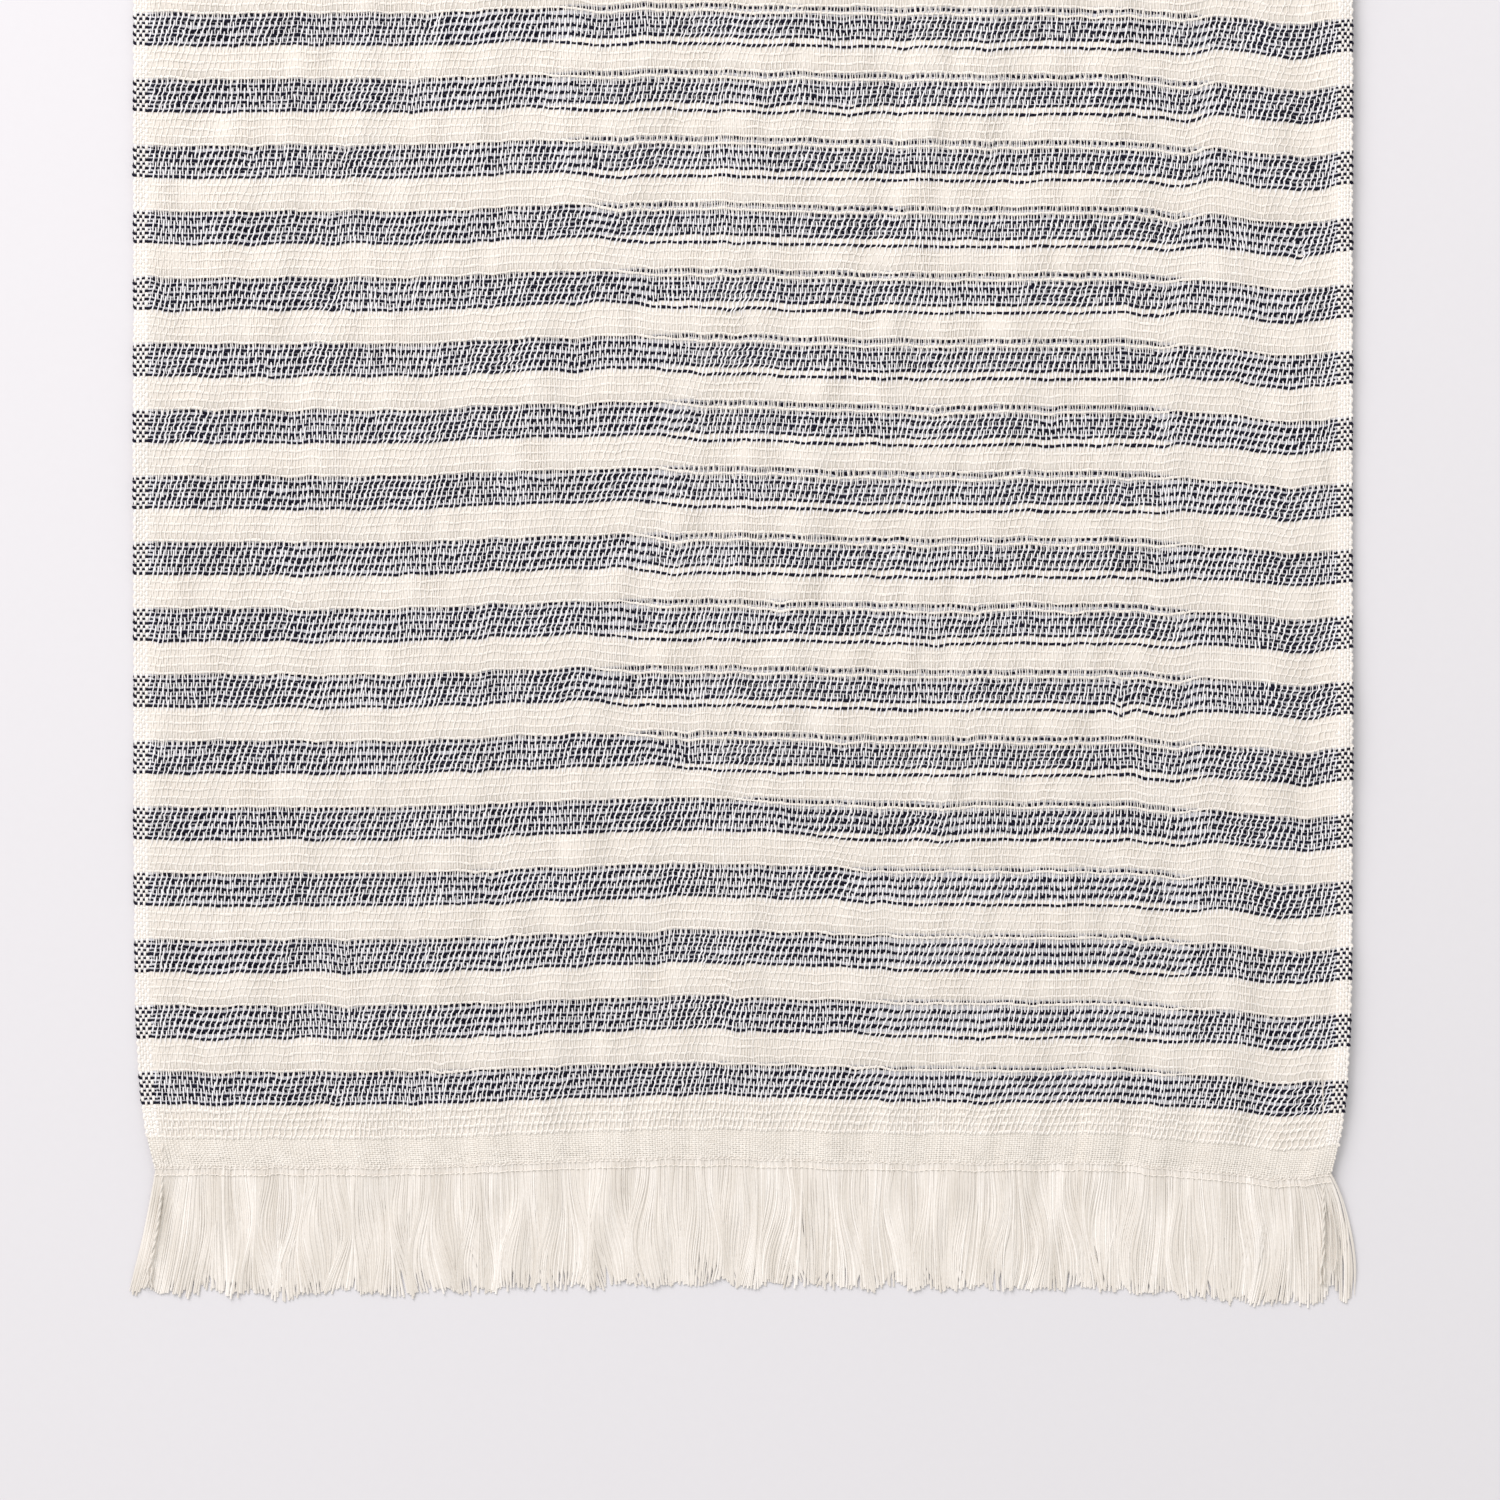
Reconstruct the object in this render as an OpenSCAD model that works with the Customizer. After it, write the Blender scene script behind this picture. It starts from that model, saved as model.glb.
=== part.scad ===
// Striped flat-woven bath mat with a fringe at both ends.
// The mat is a double cloth: a closed back cloth, and over it an open face cloth whose
// dark and pale weft picks run across the width and are held between two sets of warp
// ends. Two selvedges bind the long edges. At each end a flat dense band holds the picks
// in, two loose picks lock it, and the cut warp ends hang out as a fringe.
// Origin: middle of the mat, on the surface it lies on. +Y along its length, +Z up.

/* [Cloth] */
// Width over both selvedges
mat_w = 500; // [300:10:800]
// Dark stripes along the mat's length
stripes = 24; // [6:1:24]
// Distance from one dark stripe to the next
stripe_pitch = 27.2; // [20:0.2:32]
// Width of one selvedge
selvedge_w = 6; // [4:0.5:10]

/* [Weft] */
// Face picks in each dark stripe and in each pale stripe
picks_per_stripe = 4; // [3:1:5]
// Share of the pick spacing that a pick fills
pick_fill = 0.88; // [0.6:0.02:0.94]

/* [Warp] */
// Distance between neighbouring warp ends on one shaft
warp_pitch = 2.26; // [1.8:0.02:4]
// Width of a warp end as it lies in the cloth
warp_yarn_w = 0.76; // [0.5:0.02:1.2]

/* [Ends] */
// Depth of the flat woven band at each end
band_d = 11.6; // [8:0.2:20]
// How far the band and the fringe's root draw in at each side
band_draw_in = 7; // [0:0.5:8]
// Length of the fringe beyond the band
fringe_l = 52; // [20:1:90]
// Thickness of a fringe strand
strand_t = 1.2; // [0.8:0.1:1.5]

/* [Layers] */
// Thickness of the back cloth
back_t = 1.4; // [1:0.1:2.5]
// Thickness of one set of warp ends
warp_t = 0.35; // [0.2:0.05:0.6]
// Thickness of a weft pick
pick_t = 0.9; // [0.5:0.05:1.3]
// Thickness of the end band
band_t = 2.2; // [1.6:0.1:3]

/* [Hidden] */
$fn = 48;
pick_pitch = stripe_pitch / (2 * picks_per_stripe);
pick_w = pick_pitch * pick_fill;
body_l = (2 * stripes + 1) * picks_per_stripe * pick_pitch;
woven_l = body_l + 2 * band_d;
body_w = mat_w - 2 * selvedge_w;
band_w = mat_w - 2 * band_draw_in;
band_ribs = 6;
band_rib_fill = 0.9;
lower_warp_z = back_t;
pick_z = lower_warp_z + warp_t;
upper_warp_z = pick_z + pick_t;
cloth_t = upper_warp_z + warp_t;
lock_pick_w = 1.1;
lock_pick_t = 0.7;
lock_pick_gap = 3;
strand_lift = 0.1;
dark = [0.10, 0.12, 0.22];
pale = [0.95, 0.92, 0.86];

function two_digits(i) = str(i < 10 ? "0" : "", i);
function dark_name(i) = str("navy_weft_", two_digits(i));
function pale_name(i) = str("cream_weft_", two_digits(i));

// A row of count copies of its child, centred, at the given spacing along X.
module row_x(count, spacing) {
    for (i = [0:count - 1])
        translate([(i - (count - 1) / 2) * spacing, 0, 0])
            children();
}

// Outline of a yarn pressed flat below and rounded on top, w wide and t high.
module yarn_profile(w, t) {
    r = (w * w / 4 + t * t) / (2 * t);
    intersection() {
        translate([0, t - r])
            circle(r);
        translate([-w / 2, 0])
            square([w, t]);
    }
}

// A yarn of that outline lying along X, centred on x = 0.
module pick(length, w, t) {
    rotate([90, 0, 90])
        linear_extrude(length, center = true)
            yarn_profile(w, t);
}

// The picks of one stripe. Stripes are numbered from 0 at the front end.
module stripe_picks(stripe) {
    for (i = [0:picks_per_stripe - 1]) {
        row = stripe * picks_per_stripe + i;
        translate([0, -body_l / 2 + (row + 0.5) * pick_pitch, pick_z])
            pick(body_w, pick_w, pick_t);
    }
}

module navy_weft(i) {
    color(dark)
        stripe_picks(2 * i - 1);
}

module cream_weft(i) {
    color(pale)
        stripe_picks(2 * i - 2);
}

module back_cloth() {
    color(pale * 0.9)
        translate([-body_w / 2, -body_l / 2, 0])
            cube([body_w, body_l, back_t]);
}

// One shaft's warp ends, flat ribbons along Y. Shift moves them off the other shaft's.
module warp_ends(z, shift) {
    count = floor((body_w - 2 * warp_pitch) / warp_pitch);
    translate([shift, 0, z])
        row_x(count, warp_pitch)
            translate([-warp_yarn_w / 2, -body_l / 2, 0])
                cube([warp_yarn_w, body_l, warp_t]);
}

module lower_warp() {
    color(pale)
        warp_ends(lower_warp_z, -warp_pitch / 4);
}

module upper_warp() {
    color(pale)
        warp_ends(upper_warp_z, warp_pitch / 4);
}

// Selvedge on the side of +X. The outer edge is round, the way a woven edge turns.
module selvedge() {
    translate([body_w / 2, body_l / 2, 0])
        rotate([90, 0, 0])
            linear_extrude(body_l) {
                square([selvedge_w - cloth_t / 2, cloth_t]);
                translate([selvedge_w - cloth_t / 2, cloth_t / 2])
                    circle(cloth_t / 2);
            }
}

module right_selvedge() {
    color(pale * 0.97)
        selvedge();
}

module left_selvedge() {
    color(pale * 0.97)
        mirror([1, 0, 0])
            selvedge();
}

// Flat end band beyond +Y, a plate with the ribs of its close-set picks on top.
module end_band() {
    rib_w = band_d / band_ribs;
    rib_t = band_t / 4;
    translate([0, body_l / 2, 0]) {
        translate([-band_w / 2, 0, 0])
            cube([band_w, band_d, band_t - rib_t]);
        for (i = [0:band_ribs - 1])
            translate([0, (i + 0.5) * rib_w, band_t - rib_t])
                pick(band_w, rib_w * band_rib_fill, rib_t);
    }
}

module rear_end_band() {
    color(pale)
        end_band();
}

module front_end_band() {
    color(pale)
        mirror([0, 1, 0])
            end_band();
}

// Strands beyond +Y: each is one eight-sided cord from the band to its cut tip.
module fringe() {
    count = floor((band_w - warp_pitch) / warp_pitch);
    across_flats = strand_t / cos(180 / 8);
    translate([0, woven_l / 2, strand_lift + strand_t / 2])
        row_x(count, warp_pitch)
            rotate([-90, 0, 0])
                rotate([0, 0, 180 / 8])
                    cylinder(h = fringe_l, d = across_flats, $fn = 8);
}

module rear_fringe() {
    color(pale)
        fringe();
}

module front_fringe() {
    color(pale)
        mirror([0, 1, 0])
            fringe();
}

// The last two picks, which lie across the fringe's root and keep the band from fraying.
module locking_picks() {
    for (i = [0:1])
        translate([0, woven_l / 2 + (i + 0.5) * lock_pick_gap, strand_lift + strand_t])
            pick(band_w, lock_pick_w, lock_pick_t);
}

module rear_locking_picks() {
    color(pale)
        locking_picks();
}

module front_locking_picks() {
    color(pale)
        mirror([0, 1, 0])
            locking_picks();
}

back_cloth();
lower_warp();
upper_warp();
left_selvedge();
right_selvedge();
front_end_band();
rear_end_band();
front_locking_picks();
rear_locking_picks();
front_fringe();
rear_fringe();
for (i = [1:stripes])
    navy_weft(i);
for (i = [1:stripes + 1])
    cream_weft(i);
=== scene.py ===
"""Looks of the striped, fringed bath mat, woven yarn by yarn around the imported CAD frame.

The mat is a double cloth. Every weft pick and warp end is a tube that really goes over and
under the yarns it crosses. Yarns take their places from crossing grids: one for the face
cloth, one for the back cloth and one for each selvedge and each end band. All the grids
follow the same ripples and drooping rows.
"""

import math

import bpy
import numpy as np
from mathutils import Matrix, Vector


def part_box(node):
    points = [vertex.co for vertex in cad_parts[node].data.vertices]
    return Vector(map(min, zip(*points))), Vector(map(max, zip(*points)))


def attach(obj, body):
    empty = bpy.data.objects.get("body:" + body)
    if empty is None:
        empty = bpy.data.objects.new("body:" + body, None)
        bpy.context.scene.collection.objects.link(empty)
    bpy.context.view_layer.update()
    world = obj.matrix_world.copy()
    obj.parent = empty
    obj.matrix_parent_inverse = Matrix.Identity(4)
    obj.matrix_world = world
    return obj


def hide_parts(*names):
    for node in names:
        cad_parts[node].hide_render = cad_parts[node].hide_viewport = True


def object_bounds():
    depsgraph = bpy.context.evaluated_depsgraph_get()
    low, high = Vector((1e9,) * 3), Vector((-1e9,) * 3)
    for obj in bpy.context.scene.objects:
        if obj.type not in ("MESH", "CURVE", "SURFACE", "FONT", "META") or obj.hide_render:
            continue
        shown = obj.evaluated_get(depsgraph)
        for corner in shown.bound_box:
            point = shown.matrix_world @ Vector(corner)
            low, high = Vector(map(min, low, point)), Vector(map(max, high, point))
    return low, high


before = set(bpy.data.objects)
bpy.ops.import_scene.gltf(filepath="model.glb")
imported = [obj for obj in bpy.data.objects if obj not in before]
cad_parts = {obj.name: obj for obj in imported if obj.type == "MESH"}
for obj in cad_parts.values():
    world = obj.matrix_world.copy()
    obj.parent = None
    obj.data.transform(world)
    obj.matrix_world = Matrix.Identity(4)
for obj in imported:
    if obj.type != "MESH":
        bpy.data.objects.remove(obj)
CAD_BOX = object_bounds()

MM = 0.001
ROWS_PER_STRIPE = 4            # face picks in one stripe, with as many back picks between them

# ---------------------------------------------------------------- sizes from the frame

STRIPES = sum(name.startswith("navy_weft_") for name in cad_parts)     # dark ones
BODY_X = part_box("back_cloth")[1].x          # half width between the selvedges
BODY_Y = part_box("back_cloth")[1].y          # half length between the end bands
EDGE_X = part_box("right_selvedge")[1].x      # half width over the selvedges
BAND_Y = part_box("rear_end_band")[1].y       # half length over the end bands
TIP_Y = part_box("rear_fringe")[1].y          # half length over the fringes
ALL_STRIPES = 2 * STRIPES + 1               # dark and pale ones together
ROWS = ALL_STRIPES * ROWS_PER_STRIPE
ROW_PITCH = 2 * BODY_Y / ROWS

# ---------------------------------------------------------------- yarn sizes
# A pair called HALF is half the width and half the thickness of a yarn's section. A section
# has a number of sides and a turn: a diamond, and a triangle, point up, in the back cloth.

FACE_SECTION = (4, 0.0)
BACK_SECTION = (3, math.pi / 2)

END_PITCH = 1.13 * MM          # warp ends of one cloth
ENDS = 2 * round(BODY_X / END_PITCH)
BACK_SHIFT = 0.15 * END_PITCH  # how far the back cloth's ends lie right of the face cloth's
NAVY_HALF = (0.55 * MM, 0.24 * MM)
CREAM_HALF = (0.46 * MM, 0.10 * MM)
END_HALF = (0.21 * MM, 0.16 * MM)
BACK_PICK_WIDTH = 1.32         # the back cloth's picks are flatter and its ends finer
BACK_END_WIDTH = 0.60
NAVY_END_SPREAD = 0.17         # share by which ends are wider in the navy stripes
PICK_SLUB = 0.17               # spread of the thick and thin places along a pick, an end and
END_SLUB = 0.14                # the closely held yarns of selvedges and bands
HELD_SLUB = 0.10

PICK_CRIMP = 0.07 * MM         # how far a yarn rises and dips at each crossing
NAVY_END_CRIMP = 0.29 * MM
CREAM_END_CRIMP = 0.14 * MM
BACK_END_CRIMP = 0.8           # the back cloth's share of it

ROUGH_PICK_WIDTH = 0.35        # shares by which the first and the last stripe are rougher
ROUGH_PICK_DEPTH = 1.0
ROUGH_END_WIDTH = 0.5
ROUGH_END_CRIMP = 1.0

BACK_Z = 0.66 * MM             # middle height of the back cloth, of the face cloth, of the edges
FACE_Z = 1.12 * MM
EDGE_Z = 0.95 * MM
CREAM_SETTLE = 0.08 * MM       # how much lower the face cloth lies in the cream stripes
LOFT = 0.05 * MM               # how far the face cloth puffs up

# Top of the ground sheet, which closes the gaps of the back cloth. It lies low among the picks
# in the navy stripes and among the yarns of bands and selvedges. In the cream stripes it is
# level with the tops of the back cloth's yarns and hides nearly all of them.
NAVY_GROUND_Z = 0.50 * MM
CREAM_GROUND_Z = 0.93 * MM
BAND_GROUND_Z = 0.66 * MM
EDGE_GROUND_Z = 0.92 * MM
GROUND_THICK = 0.25 * MM
GROUND_RIM = 0.4 * MM          # how far the ground sheet stops inside the mat's outline
GROUND_COLUMNS = 230
GROUND_LINES = np.array([0.02, 0.34, 0.66, 0.98])     # cross lines, as shares of a stripe,
GROUND_SHIFT = 0.12                                   # moved on by this share of a row

SELVEDGE_ENDS = 5
SELVEDGE_END_PITCH = 1.15 * MM
SELVEDGE_RIM = 0.45 * MM       # from the outermost end to the mat's edge
SELVEDGE_END_WIDTHS = np.array([0.58, 0.48, 0.46, 0.46, 0.48]) * MM    # half, from inside out
SELVEDGE_END_DEPTH = 0.22 * MM
SELVEDGE_CRIMP = 0.17 * MM
NAVY_SELVEDGE_CRIMP = 0.14 * MM            # added where navy picks pass
SELVEDGE_RINGS = 2 * SELVEDGE_ENDS + 3     # rings of a pick within a selvedge and its turn
SELVEDGE_PICK_WIDTH = {"navy_weft_yarn": 0.62 * MM, "cream_weft_yarn": 0.50 * MM}
TURN_ANGLES = np.radians([35, 65, 90])     # rings of the turn that a pick makes at the edge
TURN_DEPTH = 0.25                          # how far out that goes, as a share of its radius

BAND_PICKS = 14
BAND_Z = 0.80 * MM
BAND_PICK_HALF = (0.36 * MM, 0.17 * MM)
BAND_END_HALF = (0.40 * MM, 0.13 * MM)     # one tube for two ends side by side
BAND_PICK_CRIMP = 0.14 * MM
BAND_END_CRIMP = 0.26 * MM
BAND_END_REACH = (1.6, 0.7)                # how far its ends go on inwards and outwards, in
                                           # pick pitches
GUARD_HALF = (0.34 * MM, 0.26 * MM)        # the guard, a heavier pick that starts the band
GUARD_BACK = 0.9                           # how far inwards it lies, in pick pitches
GUARD_RAISE = 0.18 * MM                    # and how far above the others
LOCKING_HALF = (0.22 * MM, 0.20 * MM)
LOCKING_PLACES = (0.9 * MM, 3.7 * MM)      # of the two loose picks beyond the band
LOCKING_Z = 0.95 * MM
LOCKING_ZIGZAG = 0.12 * MM
LOCKING_SCATTER = 0.12 * MM
LOCKING_CRIMP = 0.22 * MM


def smoothstep(x):
    x = np.clip(x, 0, 1)
    return x * x * (3 - 2 * x)


def bell(x, middle, width):
    """1 at the middle, falling smoothly to 0 on both sides."""
    return np.exp(-(((x - middle) / width) ** 2))


def waves(seed, across, along, count=12):
    """A smooth random field of x and y, about 1 in size: sines with wavelengths in the two
    given ranges, in metres."""
    rng = np.random.default_rng(seed)
    kx = 2 * np.pi / rng.uniform(*across, count) * rng.choice([-1, 1], count)
    ky = 2 * np.pi / rng.uniform(*along, count)
    start = rng.uniform(0, 2 * np.pi, count)

    def field(x, y):
        total = np.zeros(np.broadcast(x, y).shape)
        for k in range(count):
            total += np.sin(kx[k] * x + ky[k] * y + start[k])
        return total * math.sqrt(2 / count)

    return field


# ---------------------------------------------------------------- how the cloth lies

ripple = waves(11, (0.022, 0.070), (0.09, 0.40))
crinkle = waves(12, (0.008, 0.020), (0.03, 0.12))
row_wave = waves(13, (0.011, 0.032), (0.08, 0.35))
density = waves(14, (0.03, 0.16), (0.5, 2.0))
lean_wave = waves(15, (0.03, 0.12), (0.04, 0.20))
slip_wave = waves(16, (0.05, 0.15), (0.15, 0.60))
loft_wave = waves(17, (0.012, 0.045), (0.02, 0.10))

RIPPLE_Z = 0.85 * MM           # mean height of the ripples
RIPPLE_SIZE = 0.58             # their size, as a share of it
CRINKLE_SIZE = 0.12 * MM
LEAST_Z = 0.02 * MM
LIFT = 2.1 * MM                # how far the right edge is lifted
LIFT_X = 226 * MM              # where that starts
LIFT_REACH = 24 * MM           # and over what width it grows
DRAW_IN = 8.3 * MM             # how far each side draws in at the end bands
DRAW_IN_REACH = 28 * MM        # and over what length that fades
ROW_WAVE_SIZE = 0.17 * MM

# Where the rows leave a straight line: x, how far y shifts there, and over what width.
ROW_STEPS = (
    (-150 * MM, 1.9 * MM, 75 * MM),    # the rise towards the middle
    (155 * MM, -3.0 * MM, 34 * MM),    # the step down at the pucker right of it
    (185 * MM, -1.3 * MM, 30 * MM),    # the slope towards the right selvedge
)
ROW_BELLS = (
    (-18 * MM, 2.0 * MM, 52 * MM),     # the crown at the middle
    (229 * MM, -2.4 * MM, 17 * MM),    # the hollow beside the right selvedge
)

# Between its left and right limits the face cloth has slid down over the back cloth. That
# is counted in rows. Near the front end it has slid less, and from further right.
SLIP_ROWS = 0.98
SLIP_ELSEWHERE = 0.10
SLIP_LEFT_X = -64 * MM
SLIP_LEFT_WIDTH = 30 * MM
SLIP_RIGHT_X = 190 * MM
SLIP_RIGHT_WIDTH = 18 * MM
SLIP_LIMIT_WAVE = 12 * MM
SLIP_NEAR_LOSS = 0.42
SLIP_NEAR_SHIFT = 110 * MM
SLIP_NEAR_Y = 150 * MM
SLIP_NEAR_REACH = 90 * MM
SLIP_WAVE_ROWS = 0.05
SLIP_FADE = (22 * MM, 30 * MM)         # from the selvedges and from the end bands

REED_WAVE = 0.045              # how unevenly the ends are spaced: shares of their pitch
REED_SCATTER = 0.10
END_WANDER = 0.17 * MM         # slow wander of an end to the left and right
END_SCATTER = 0.13 * MM        # and the scatter of single crossings
PICK_SCATTER = 0.07 * MM
PICK_WAVE_SIZE = 0.09 * MM
EDGE_SCATTER = (0.08 * MM, 0.12 * MM)  # the same in the selvedges, across and along the mat
BAND_SCATTER = 0.05 * MM       # and in the bands
BAND_WAVE_SIZE = 0.5 * MM
PACKED_IN = 0.3 * MM           # how far the last face picks are beaten up over the bands
PACKED_REACH = 7 * MM          # and how far from the bands that is felt
BOUND_REACH = 6 * MM           # how far from the selvedges the yarns are not yet free to shift
HELD_REACH = 5 * MM            # and how far from the end bands
LAYER_REACH = 4 * MM           # how far from the selvedges the two cloths come apart

# Sags that both cloths share, and those of a single pick. The reaches are in metres.
SHARED_SAGS = dict(count=900, mean=0.54 * MM, wide=(0.0015, 0.0060), tall=(0.004, 0.010))
SINGLE_SAGS = dict(count=1500, mean=0.46 * MM, wide=(0.0012, 0.0045), tall=(0.001, 0.003))


def height(x, y):
    """How far the cloth stands off the floor."""
    low = RIPPLE_Z * (1 + RIPPLE_SIZE * ripple(x, y)) + CRINKLE_SIZE * crinkle(x, y)
    return np.maximum(low, LEAST_Z) + LIFT * smoothstep((x - LIFT_X) / LIFT_REACH) ** 2


def narrowing(y):
    """The share of the width that is left where the mat draws in towards its ends."""
    return 1 - DRAW_IN * np.exp((np.abs(y) - BAND_Y) / DRAW_IN_REACH) / EDGE_X


def droop(x):
    """How far a row lies off a straight line."""
    steps = sum(rise * smoothstep((x - start) / width) for start, rise, width in ROW_STEPS)
    return steps + sum(rise * bell(x, middle, width) for middle, rise, width in ROW_BELLS)


def sway(x, y):
    """How far every yarn at x, y is shifted along the mat."""
    return droop(x) + ROW_WAVE_SIZE * row_wave(x, y)


def edge_fade(x, depth):
    return smoothstep((BODY_X - np.abs(x)) / depth)


def end_fade(y, depth):
    return smoothstep((BODY_Y - np.abs(y)) / depth)


def slip(x, y):
    """How far the face cloth has slid down over the back cloth."""
    limit = slip_wave(0 * x, y) * SLIP_LIMIT_WAVE
    near = smoothstep((-y - SLIP_NEAR_Y) / SLIP_NEAR_REACH)
    left_x = SLIP_LEFT_X - limit + SLIP_NEAR_SHIFT * near
    right_x = SLIP_RIGHT_X + limit / 3
    inside = smoothstep((x - left_x) / SLIP_LEFT_WIDTH)
    inside = inside * smoothstep((right_x - x) / SLIP_RIGHT_WIDTH)
    rows = SLIP_ELSEWHERE + (SLIP_ROWS - SLIP_NEAR_LOSS * near) * inside
    rows = rows + SLIP_WAVE_ROWS * slip_wave(x, y)
    return -rows * ROW_PITCH * edge_fade(x, SLIP_FADE[0]) * end_fade(y, SLIP_FADE[1])


def end_places():
    """Rest x of each warp end, with the reed's uneven spacing."""
    rng = np.random.default_rng(21)
    k = np.arange(ENDS)
    x = (k + 0.5) / ENDS * 2 - 1
    gap = 1 + REED_WAVE * density(x * BODY_X, 0 * x) + REED_SCATTER * rng.standard_normal(ENDS)
    x = np.cumsum(np.maximum(gap, 0.5))
    return ((x - x[0]) / (x[-1] - x[0]) * 2 - 1) * (BODY_X - END_PITCH / 2)


def smooth_noise(seed, lines, steps, window, margin):
    """Random lines of shape (lines, steps), about 1 in size and smoothed over a window of
    steps. The margin is cut off both ends, where the smoothing is incomplete."""
    kernel = np.hanning(window)
    kernel /= math.sqrt((kernel**2).sum())
    rough = np.random.default_rng(seed).standard_normal((lines, steps + 2 * margin))
    smooth = np.apply_along_axis(lambda a: np.convolve(a, kernel, "same"), 1, rough)
    return smooth[:, margin:-margin]


def sags(seed, x, y, count, mean, wide, tall):
    """V-shaped sags and peaks of the picks, where the ends were beaten in loosely. x and y are
    the lines of the grid, mean the average depth, wide and tall the ranges of reach."""
    rng = np.random.default_rng(seed)
    middle = rng.uniform(-BODY_X, BODY_X, (count, 1))
    row = rng.uniform(-BODY_Y, BODY_Y, (count, 1))
    deep = rng.gamma(2, mean / 2, (count, 1)) * np.where(rng.random((count, 1)) < 0.7, -1, 0.6)
    reach = rng.uniform(*wide, (count, 1))
    across = deep * np.exp(-np.hypot(x - middle, 0.5 * MM) / reach)
    along = bell(y, row, rng.uniform(*tall, (count, 1)))
    return across.T @ along


def end_share(row):
    """1 where a row of picks lies in the first or the last stripe, which is beaten up rougher
    against the band, else 0."""
    stripe = np.asarray(row) // ROWS_PER_STRIPE
    return ((stripe == 0) | (stripe == ALL_STRIPES - 1)).astype(float)


def navy_share(row):
    """1 where a row of picks, counted from the front end, belongs to a navy stripe, else 0."""
    return (np.asarray(row) // ROWS_PER_STRIPE % 2).astype(float)


class Grid:
    """Where the ends and picks of one cloth cross: x, y, z, each of shape (ends, picks), and
    over, which is True where the pick passes over the end. In a grid that is as long as the
    body, navy is 1 for each pick of a navy stripe, else 0."""

    def __init__(self, x, y, z):
        self.x, self.y, self.z = x, y, z
        i, j = np.indices(x.shape)
        self.over = (i + j) % 2 == 0
        self.navy = navy_share(np.arange(x.shape[1]) * ROWS / x.shape[1])

    def slope(self, axis):
        return np.stack([np.gradient(a, axis=axis) for a in (self.x, self.y, self.z)], -1)

    def points(self):
        return np.stack([self.x, self.y, self.z], -1)


def cloth_grid(face):
    """The crossing grid of the face cloth or the back cloth between the selvedges."""
    first = 0.25 if face else 0.75
    rows = -BODY_Y + (np.arange(ROWS) + first) * ROW_PITCH
    ends = end_places() + (0 if face else BACK_SHIFT)
    u, v = np.meshgrid(ends, rows, indexing="ij")
    free = edge_fade(u, BOUND_REACH)
    rng = np.random.default_rng(37 + face)
    wander = END_WANDER * smooth_noise(31 + face, ENDS, ROWS, window=9, margin=12)
    x = u * narrowing(v) + wander * free
    x = x + END_SCATTER * rng.standard_normal(u.shape) * free
    y = v + sway(u, v) + PICK_SCATTER * rng.standard_normal(u.shape)
    own = waves(33 + face, (0.007, 0.022), (0.004, 0.010))
    bent = PICK_WAVE_SIZE * own(u, v) + sags(34, ends, rows, **SHARED_SAGS)
    bent = bent + sags(35 + face, ends, rows, **SINGLE_SAGS)
    y = y + bent * free * end_fade(v, HELD_REACH)
    level = BACK_Z
    if face:
        packed = PACKED_IN * (1 - end_fade(v, PACKED_REACH))
        y = y + slip(u, v) + np.sign(v) * packed
        level = FACE_Z - CREAM_SETTLE * (1 - navy_share(np.arange(ROWS)))
    z = EDGE_Z + (level - EDGE_Z) * edge_fade(u, LAYER_REACH) + height(u, v)
    if face:
        z = z + LOFT * (1 + loft_wave(u, v)) * free
    return Grid(x, y, z)


def selvedge_columns():
    """Rest x of the right selvedge's ends, from the innermost out."""
    return EDGE_X - SELVEDGE_RIM - SELVEDGE_END_PITCH * np.arange(SELVEDGE_ENDS)[::-1]


def selvedge_grid(side):
    """Crossings of one selvedge, where the picks of both cloths lie in one plane."""
    rows = -BODY_Y + (np.arange(2 * ROWS) + 0.5) * ROW_PITCH / 2
    u, v = np.meshgrid(side * selvedge_columns(), rows, indexing="ij")
    rng = np.random.default_rng(41 + side)
    x = u * narrowing(v) + EDGE_SCATTER[0] * rng.standard_normal(u.shape)
    y = v + sway(u, v) + EDGE_SCATTER[1] * rng.standard_normal(u.shape)
    return Grid(x, y, EDGE_Z + height(u, v))


# ---------------------------------------------------------------- tubes

def tube_mesh(name, points, half_w, half_t, sides=4, turn=0.0, smooth=False):
    """One mesh of closed tubes. points is (tubes, rings, 3). half_w and half_t, numbers or
    (tubes, rings) arrays, are the half width across the tube and the half thickness up."""
    points = np.asarray(points, float)
    count, rings = points.shape[:2]
    along = np.gradient(points, axis=1)
    flat = np.hypot(along[..., 0], along[..., 1])
    flat = np.maximum(flat, 1e-9)
    across = np.stack([-along[..., 1] / flat, along[..., 0] / flat, np.zeros_like(flat)], -1)
    along /= np.maximum(np.linalg.norm(along, axis=-1, keepdims=True), 1e-9)
    up = np.cross(along, across) * -1.0
    up *= np.sign(up[..., 2:3] + 1e-12)
    angle = turn + 2 * np.pi * np.arange(sides) / sides
    half_w = np.broadcast_to(half_w, (count, rings))[..., None, None]
    half_t = np.broadcast_to(half_t, (count, rings))[..., None, None]
    ring = (across[..., None, :] * np.cos(angle)[:, None] * half_w
            + up[..., None, :] * np.sin(angle)[:, None] * half_t)
    verts = (points[..., None, :] + ring).reshape(-1, 3)
    return mesh_object(name, verts, tube_faces(count, rings, sides), smooth)


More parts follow.
